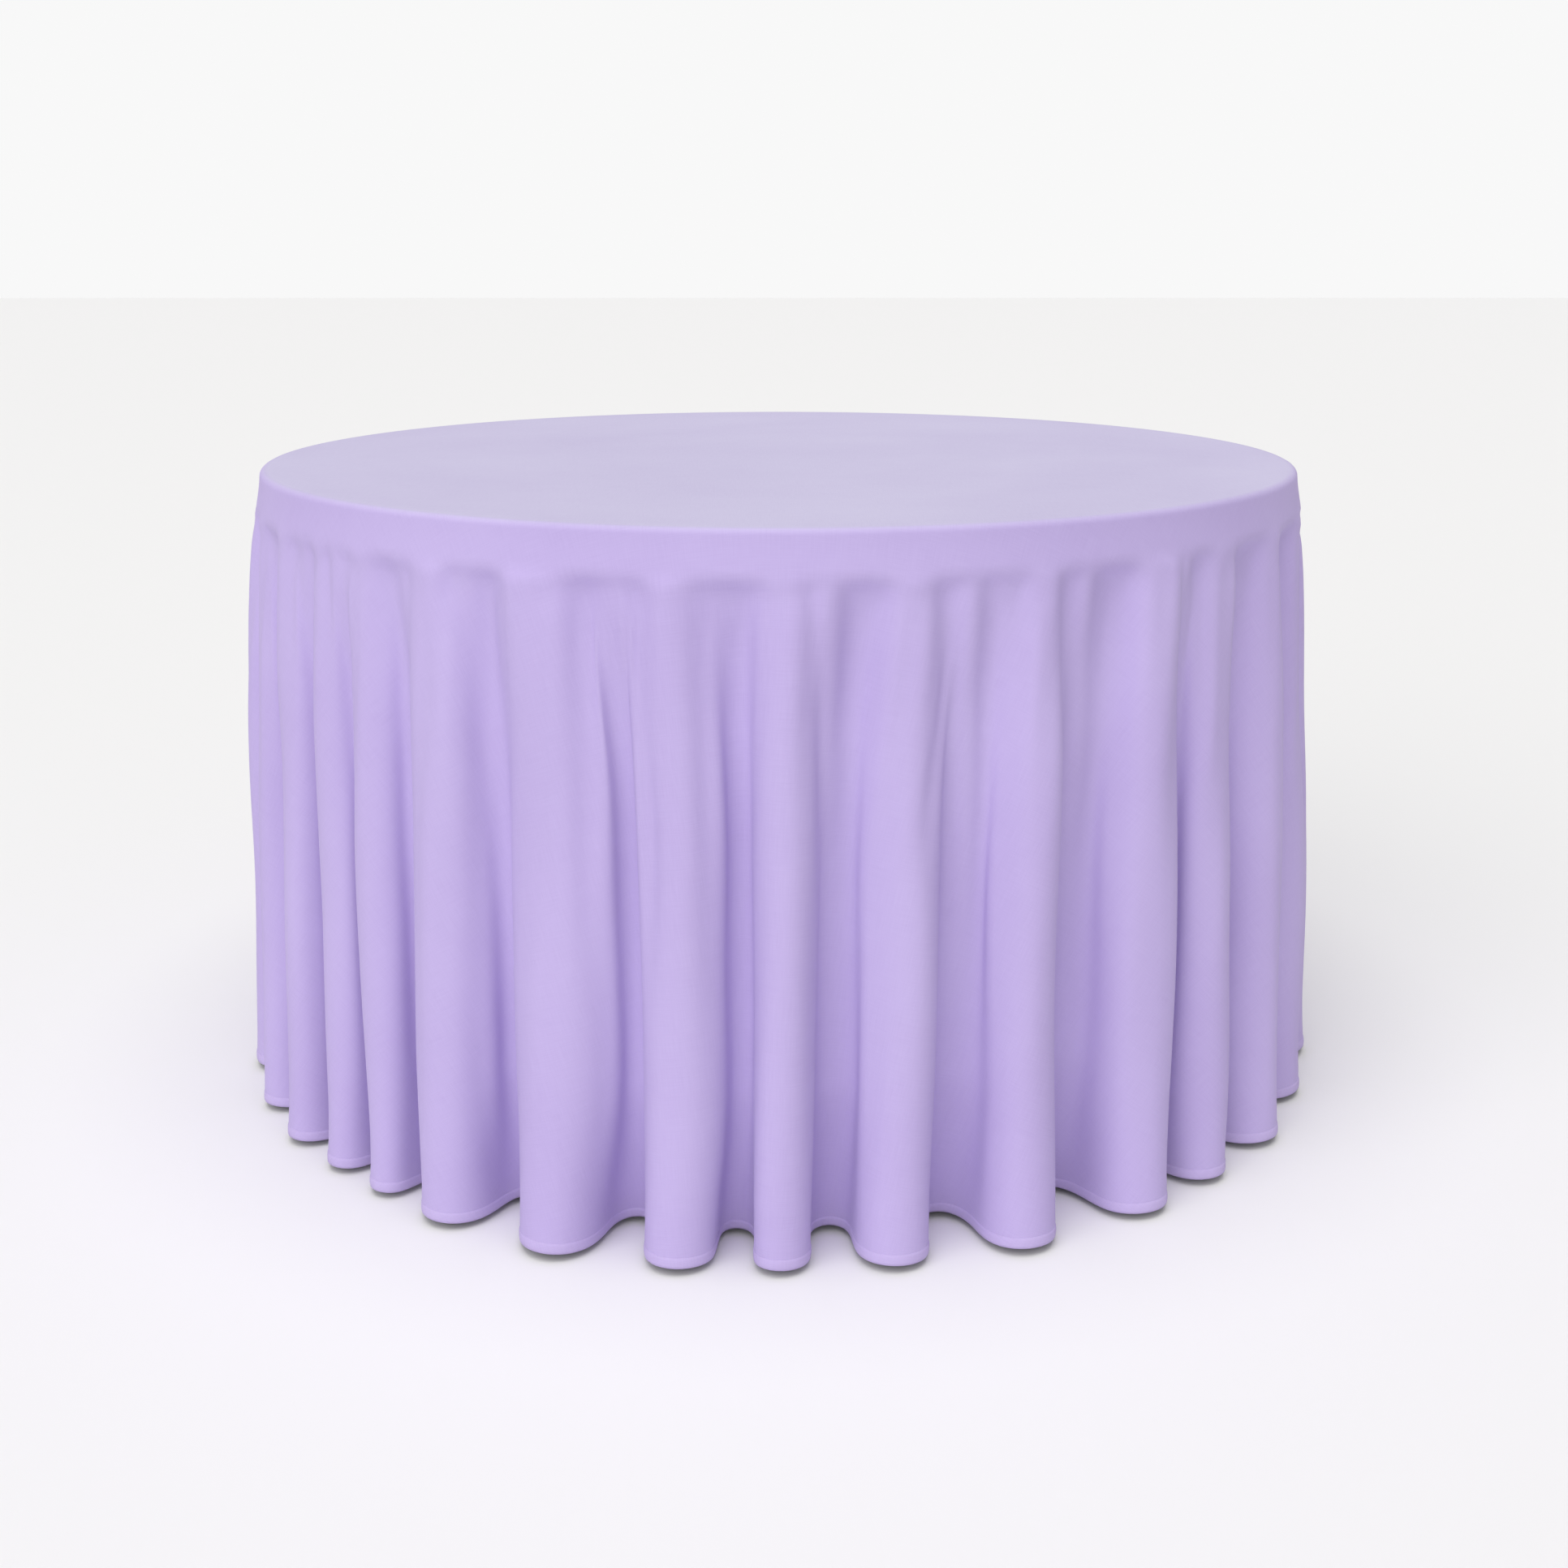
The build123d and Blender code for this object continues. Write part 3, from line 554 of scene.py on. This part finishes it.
def hem_piece():
    d_rows = 5
    G = V[:-1].reshape(R_ALL, N, 3)
    NG = nrm[:-1].reshape(R_ALL, N, 3)
    FG = F[:-1].reshape(R_ALL, N, 3)
    s = np.linalg.norm(np.diff(G[:4], axis=0), axis=2).mean(1).cumsum()
    s = np.concatenate([[0], s])
    pts, nn, ff = [], [], []
    for w in np.linspace(-0.0006, HEM_W, d_rows):
        k = np.searchsorted(s, max(w, 0), side="right") - 1
        k = min(k, 2)
        f = (w - s[k]) / (s[k + 1] - s[k])
        pts.append(G[k] * (1 - f) + G[k + 1] * f); nn.append(NG[k] * (1 - f) + NG[k + 1] * f)
        ff.append(FG[k] * (1 - f) + FG[k + 1] * f)
    half = [0.00055, 0.00105, 0.00115, 0.00110, 0.00060]
    outer = [p + n_ * h for p, n_, h in zip(pts, nn, half)]
    inner = [p - n_ * h for p, n_, h in zip(pts, nn, half)]
    loop = outer + inner[::-1]
    P = np.concatenate(loop)
    FF = np.concatenate(ff + ff[::-1])
    m = len(loop)
    q = []
    for a in range(m):
        b = (a + 1) % m
        q.append(np.stack([a * N + j, a * N + jn, b * N + jn, b * N + j], 1))
    return make_mesh("tablecloth_hem_edge", P, np.concatenate(q), None, {"flat_xy": FF})


hem = hem_piece()


# ---------------------------------------------------------------- materials
def srgb(r, g, b):
    def f(c):
        c /= 255.0
        return c / 12.92 if c <= 0.04045 else ((c + 0.055) / 1.055) ** 2.4
    return (f(r), f(g), f(b), 1.0)


class Mat:
    def __init__(self, name):
        self.m = bpy.data.materials.new(name)
        self.m.use_nodes = True
        self.t = self.m.node_tree
        self.b = self.t.nodes["Principled BSDF"]

    def n(self, kind, **kw):
        nd = self.t.nodes.new(kind)
        for k, v in kw.items():
            if k in nd.inputs:
                nd.inputs[k].default_value = v
            else:
                setattr(nd, k, v)
        return nd

    def l(self, a, b):
        self.t.links.new(a, b)


def fabric(name, base, dark, light, hem=False):
    m = Mat(name)
    att = m.n("ShaderNodeAttribute", attribute_name="flat_xy")
    sep = m.n("ShaderNodeSeparateXYZ"); m.l(att.outputs["Vector"], sep.inputs[0])
    # broad, faint colour variation of the dyed cloth
    nz = m.n("ShaderNodeTexNoise"); nz.inputs["Scale"].default_value = 3.2; nz.inputs["Detail"].default_value = 4
    m.l(att.outputs["Vector"], nz.inputs["Vector"])
    # slubs: thicker threads along warp and weft
    def slub(sx, sy, sc):
        mp = m.n("ShaderNodeMapping"); mp.inputs["Scale"].default_value = (sx, sy, 0.0)
        m.l(att.outputs["Vector"], mp.inputs["Vector"])
        s = m.n("ShaderNodeTexNoise"); s.inputs["Scale"].default_value = sc; s.inputs["Detail"].default_value = 2
        m.l(mp.outputs[0], s.inputs["Vector"])
        return s
    warp = slub(1.0, 0.035, 900.0)
    weft = slub(0.035, 1.0, 900.0)
    add = m.n("ShaderNodeMath", operation="ADD"); m.l(warp.outputs["Fac"], add.inputs[0]); m.l(weft.outputs["Fac"], add.inputs[1])
    half = m.n("ShaderNodeMath", operation="MULTIPLY_ADD"); half.inputs[1].default_value = 0.5; half.inputs[2].default_value = 0.0
    m.l(add.outputs[0], half.inputs[0])
    mixf = m.n("ShaderNodeMath", operation="MULTIPLY_ADD"); mixf.inputs[1].default_value = 0.55
    m.l(half.outputs[0], mixf.inputs[0])
    sc = m.n("ShaderNodeMath", operation="MULTIPLY"); sc.inputs[1].default_value = 0.45
    m.l(nz.outputs["Fac"], sc.inputs[0]); m.l(sc.outputs[0], mixf.inputs[2])
    ramp = m.n("ShaderNodeValToRGB")
    ramp.color_ramp.elements[0].position = 0.30; ramp.color_ramp.elements[0].color = dark
    ramp.color_ramp.elements[1].position = 0.70; ramp.color_ramp.elements[1].color = light
    e = ramp.color_ramp.elements.new(0.5); e.color = base
    m.l(mixf.outputs[0], ramp.inputs[0])
    # painted sheen: the part stretched flat over the top gets a paler, greyer base colour than the part in folds,
    # standing in for the whitish sheen it shows at a grazing view
    painted_sheen_top_mask = m.n("ShaderNodeMapRange", interpolation_type="SMOOTHSTEP")
    painted_sheen_top_mask.inputs["From Min"].default_value = 0.600; painted_sheen_top_mask.inputs["From Max"].default_value = 0.6145
    painted_sheen_top_mask.inputs["To Min"].default_value = 1.0; painted_sheen_top_mask.inputs["To Max"].default_value = 0.0
    m.l(sep.outputs[2], painted_sheen_top_mask.inputs["Value"])
    # painted sheen: the base colour is multiplied towards a paler, greyer tint where the cloth lies flat on the top
    painted_sheen_top_tint = m.n("ShaderNodeMix", data_type="RGBA", blend_type="MULTIPLY")
    painted_sheen_top_tint.inputs["B"].default_value = (1.19, 1.35, 1.07, 1.0)
    m.l(painted_sheen_top_mask.outputs[0], painted_sheen_top_tint.inputs["Factor"]); m.l(ramp.outputs[0], painted_sheen_top_tint.inputs["A"])
    m.l(painted_sheen_top_tint.outputs["Result"], m.b.inputs["Base Color"])
    # roughness follows the threads a little
    mr = m.n("ShaderNodeMapRange"); mr.inputs["To Min"].default_value = 0.70; mr.inputs["To Max"].default_value = 0.86
    m.l(half.outputs[0], mr.inputs["Value"]); m.l(mr.outputs[0], m.b.inputs["Roughness"])
    # plain weave in relief
    k = 2 * math.pi / 0.00062
    def wave(socket):
        mu = m.n("ShaderNodeMath", operation="MULTIPLY"); mu.inputs[1].default_value = k; m.l(socket, mu.inputs[0])
        si = m.n("ShaderNodeMath", operation="SINE"); m.l(mu.outputs[0], si.inputs[0]); return si
    wx, wy = wave(sep.outputs[0]), wave(sep.outputs[1])
    pr = m.n("ShaderNodeMath", operation="MULTIPLY"); m.l(wx.outputs[0], pr.inputs[0]); m.l(wy.outputs[0], pr.inputs[1])
    b1 = m.n("ShaderNodeBump"); b1.inputs["Strength"].default_value = 0.25; b1.inputs["Distance"].default_value = 0.00006
    m.l(pr.outputs[0], b1.inputs["Height"])
    b2 = m.n("ShaderNodeBump"); b2.inputs["Strength"].default_value = 0.30; b2.inputs["Distance"].default_value = 0.00025
    m.l(half.outputs[0], b2.inputs["Height"]); m.l(b1.outputs[0], b2.inputs["Normal"])
    m.l(b2.outputs[0], m.b.inputs["Normal"])
    m.b.inputs["Sheen Weight"].default_value = 0.07
    m.b.inputs["Sheen Roughness"].default_value = 0.5
    m.b.inputs["Sheen Tint"].default_value = (1.0, 1.0, 1.0, 1.0)
    m.b.inputs["Specular IOR Level"].default_value = 0.14
    return m.m


CLOTH_MAT = fabric("lavender_polyester", srgb(189, 173, 221), srgb(183, 166, 216), srgb(194, 179, 225))
HEM_MAT = fabric("lavender_polyester_hem", srgb(192, 176, 222), srgb(185, 168, 216), srgb(198, 183, 227), hem=True)
cloth.data.materials.append(CLOTH_MAT)
hem.data.materials.append(HEM_MAT)


def plastic_top():
    m = Mat("speckled_hdpe")
    tc = m.n("ShaderNodeTexCoord")
    n1 = m.n("ShaderNodeTexNoise"); n1.inputs["Scale"].default_value = 420; n1.inputs["Detail"].default_value = 3
    m.l(tc.outputs["Object"], n1.inputs["Vector"])
    r1 = m.n("ShaderNodeValToRGB")
    r1.color_ramp.elements[0].position = 0.36; r1.color_ramp.elements[0].color = srgb(176, 172, 164)
    r1.color_ramp.elements[1].position = 0.50; r1.color_ramp.elements[1].color = srgb(224, 221, 213)
    m.l(n1.outputs["Fac"], r1.inputs[0])
    n2 = m.n("ShaderNodeTexNoise"); n2.inputs["Scale"].default_value = 6; n2.inputs["Detail"].default_value = 4
    m.l(tc.outputs["Object"], n2.inputs["Vector"])
    mx = m.n("ShaderNodeMix", data_type="RGBA", blend_type="MULTIPLY")
    mx.inputs["Factor"].default_value = 0.10
    m.l(r1.outputs[0], mx.inputs["A"]); m.l(n2.outputs["Color"], mx.inputs["B"])
    m.l(mx.outputs["Result"], m.b.inputs["Base Color"])
    mr = m.n("ShaderNodeMapRange"); mr.inputs["To Min"].default_value = 0.42; mr.inputs["To Max"].default_value = 0.62
    m.l(n2.outputs["Fac"], mr.inputs["Value"]); m.l(mr.outputs[0], m.b.inputs["Roughness"])
    v = m.n("ShaderNodeTexVoronoi"); v.inputs["Scale"].default_value = 900; m.l(tc.outputs["Object"], v.inputs["Vector"])
    b = m.n("ShaderNodeBump"); b.inputs["Strength"].default_value = 0.35; b.inputs["Distance"].default_value = 0.00035
    m.l(v.outputs["Distance"], b.inputs["Height"]); m.l(b.outputs[0], m.b.inputs["Normal"])
    return m.m


def powder(name, col, rough=(0.42, 0.6)):
    m = Mat(name)
    tc = m.n("ShaderNodeTexCoord")
    n1 = m.n("ShaderNodeTexNoise"); n1.inputs["Scale"].default_value = 28; n1.inputs["Detail"].default_value = 5
    m.l(tc.outputs["Object"], n1.inputs["Vector"])
    r = m.n("ShaderNodeValToRGB")
    r.color_ramp.elements[0].position = 0.3; r.color_ramp.elements[0].color = tuple(c * 0.86 for c in col[:3]) + (1,)
    r.color_ramp.elements[1].position = 0.75; r.color_ramp.elements[1].color = tuple(min(1, c * 1.12) for c in col[:3]) + (1,)
    m.l(n1.outputs["Fac"], r.inputs[0]); m.l(r.outputs[0], m.b.inputs["Base Color"])
    mr = m.n("ShaderNodeMapRange"); mr.inputs["To Min"].default_value = rough[0]; mr.inputs["To Max"].default_value = rough[1]
    m.l(n1.outputs["Fac"], mr.inputs["Value"]); m.l(mr.outputs[0], m.b.inputs["Roughness"])
    n2 = m.n("ShaderNodeTexNoise"); n2.inputs["Scale"].default_value = 1400; n2.inputs["Detail"].default_value = 2
    m.l(tc.outputs["Object"], n2.inputs["Vector"])
    b = m.n("ShaderNodeBump"); b.inputs["Strength"].default_value = 0.3; b.inputs["Distance"].default_value = 0.00025
    m.l(n2.outputs["Fac"], b.inputs["Height"]); m.l(b.outputs[0], m.b.inputs["Normal"])
    return m.m


def zinc():
    m = Mat("zinc_plate")
    tc = m.n("ShaderNodeTexCoord")
    v = m.n("ShaderNodeTexVoronoi"); v.inputs["Scale"].default_value = 160; m.l(tc.outputs["Object"], v.inputs["Vector"])
    n1 = m.n("ShaderNodeTexNoise"); n1.inputs["Scale"].default_value = 45; n1.inputs["Detail"].default_value = 6
    m.l(tc.outputs["Object"], n1.inputs["Vector"])
    mx = m.n("ShaderNodeMix", data_type="RGBA"); mx.inputs["Factor"].default_value = 0.35
    m.l(n1.outputs["Color"], mx.inputs["A"]); m.l(v.outputs["Color"], mx.inputs["B"])
    bw = m.n("ShaderNodeRGBToBW"); m.l(mx.outputs["Result"], bw.inputs[0])
    r = m.n("ShaderNodeValToRGB")
    r.color_ramp.elements[0].position = 0.25; r.color_ramp.elements[0].color = srgb(150, 152, 156)
    r.color_ramp.elements[1].position = 0.75; r.color_ramp.elements[1].color = srgb(196, 198, 200)
    m.l(bw.outputs[0], r.inputs[0]); m.l(r.outputs[0], m.b.inputs["Base Color"])
    m.b.inputs["Metallic"].default_value = 1.0
    mr = m.n("ShaderNodeMapRange"); mr.inputs["To Min"].default_value = 0.28; mr.inputs["To Max"].default_value = 0.5
    m.l(bw.outputs[0], mr.inputs["Value"]); m.l(mr.outputs[0], m.b.inputs["Roughness"])
    b = m.n("ShaderNodeBump"); b.inputs["Strength"].default_value = 0.15; b.inputs["Distance"].default_value = 0.0002
    m.l(n1.outputs["Fac"], b.inputs["Height"]); m.l(b.outputs[0], m.b.inputs["Normal"])
    return m.m


def rubber():
    m = Mat("black_rubber")
    tc = m.n("ShaderNodeTexCoord")
    n1 = m.n("ShaderNodeTexNoise"); n1.inputs["Scale"].default_value = 90; n1.inputs["Detail"].default_value = 5
    m.l(tc.outputs["Object"], n1.inputs["Vector"])
    r = m.n("ShaderNodeValToRGB")
    r.color_ramp.elements[0].color = srgb(34, 34, 36); r.color_ramp.elements[1].color = srgb(58, 57, 58)
    m.l(n1.outputs["Fac"], r.inputs[0]); m.l(r.outputs[0], m.b.inputs["Base Color"])
    mr = m.n("ShaderNodeMapRange"); mr.inputs["To Min"].default_value = 0.62; mr.inputs["To Max"].default_value = 0.85
    m.l(n1.outputs["Fac"], mr.inputs["Value"]); m.l(mr.outputs[0], m.b.inputs["Roughness"])
    b = m.n("ShaderNodeBump"); b.inputs["Strength"].default_value = 0.3; b.inputs["Distance"].default_value = 0.0003
    m.l(n1.outputs["Fac"], b.inputs["Height"]); m.l(b.outputs[0], m.b.inputs["Normal"])
    return m.m


MATS = {"top_plastic": plastic_top(), "frame_steel": powder("grey_powder_coat", srgb(120, 122, 126)),
        "leg_steel": powder("grey_powder_coat_legs", srgb(126, 128, 132)), "zinc_steel": zinc(), "foot_rubber": rubber()}
slot_of = {s["node"]: s["material_slot"] for s in frame["record"]["subparts"]}
for name, o in frame["nodes"].items():
    m = MATS.get(slot_of.get(name))
    if m:
        if not o.material_slots:
            o.data.materials.append(m)
        for sl in o.material_slots:
            sl.material = m

# ------------------------------------------------------- what rides on what
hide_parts("tablecloth_top", "tablecloth_edge_band", "tablecloth_skirt")
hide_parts("tablecloth_hem")
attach(cloth, "cloth")
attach(hem, "cloth")

# ------------------------------------------------------- floor, light, camera
fl = bpy.data.meshes.new("floor")
S = 30.0
fl.from_pydata([(-S, -S, 0), (S, -S, 0), (S, S, 0), (-S, S, 0)], [], [(0, 1, 2, 3)])
floor = bpy.data.objects.new("floor", fl)
scene.collection.objects.link(floor)
fm = Mat("pale_floor")
fm.b.inputs["Base Color"].default_value = (0.89, 0.89, 0.89, 1)
fm.b.inputs["Roughness"].default_value = 0.9
fm.b.inputs["Specular IOR Level"].default_value = 0.1
fl.materials.append(fm.m)

world = bpy.data.worlds.new("studio")
scene.world = world
world.use_nodes = True
wt = world.node_tree
bg = wt.nodes["Background"]
bg.inputs[0].default_value = (0.975, 0.975, 1.0, 1)
bg.inputs[1].default_value = 0.32
seen = wt.nodes.new("ShaderNodeBackground")
seen.inputs[0].default_value = (0.94, 0.94, 0.94, 1)
seen.inputs[1].default_value = 1.0
lp = wt.nodes.new("ShaderNodeLightPath")
mixw = wt.nodes.new("ShaderNodeMixShader")
wt.links.new(lp.outputs["Is Camera Ray"], mixw.inputs[0])
wt.links.new(bg.outputs[0], mixw.inputs[1])
wt.links.new(seen.outputs[0], mixw.inputs[2])
wt.links.new(mixw.outputs[0], wt.nodes["World Output"].inputs["Surface"])


def sun(name, azimuth, elevation, strength, spread, col=(1, 1, 1)):
    """Azimuth from the camera's side (-Y) towards +X, both in degrees."""
    from mathutils import Vector
    d = bpy.data.lights.new(name, "SUN")
    d.energy = strength; d.angle = math.radians(spread); d.color = col
    o = bpy.data.objects.new(name, d)
    scene.collection.objects.link(o)
    a, e = math.radians(azimuth), math.radians(elevation)
    v = Vector((math.sin(a) * math.cos(e), -math.cos(a) * math.cos(e), math.sin(e)))
    o.location = v * 5
    o.rotation_euler = (-v).to_track_quat("-Z", "Y").to_euler()
    return o


sun("key", -24, 32, 1.69, 70, (1.0, 0.99, 0.98))
sun("fill", 30, 30, 0.05, 60, (1.0, 0.99, 0.98))
sun("overhead", 0, 84, 1.33, 50, (1.0, 0.99, 0.97))

cam_data = bpy.data.cameras.new("camera")
cam = bpy.data.objects.new("camera", cam_data)
scene.collection.objects.link(cam)
cam_data.sensor_width = 36.0
cam_data.lens = 44.854
cam.location = (0.0, -2.3928, 0.9973)
cam.rotation_euler = (math.radians(90 - 15.732), 0, -0.00266)
scene.camera = cam
scene.view_settings.view_transform = "Standard"
scene.view_settings.look = "None"
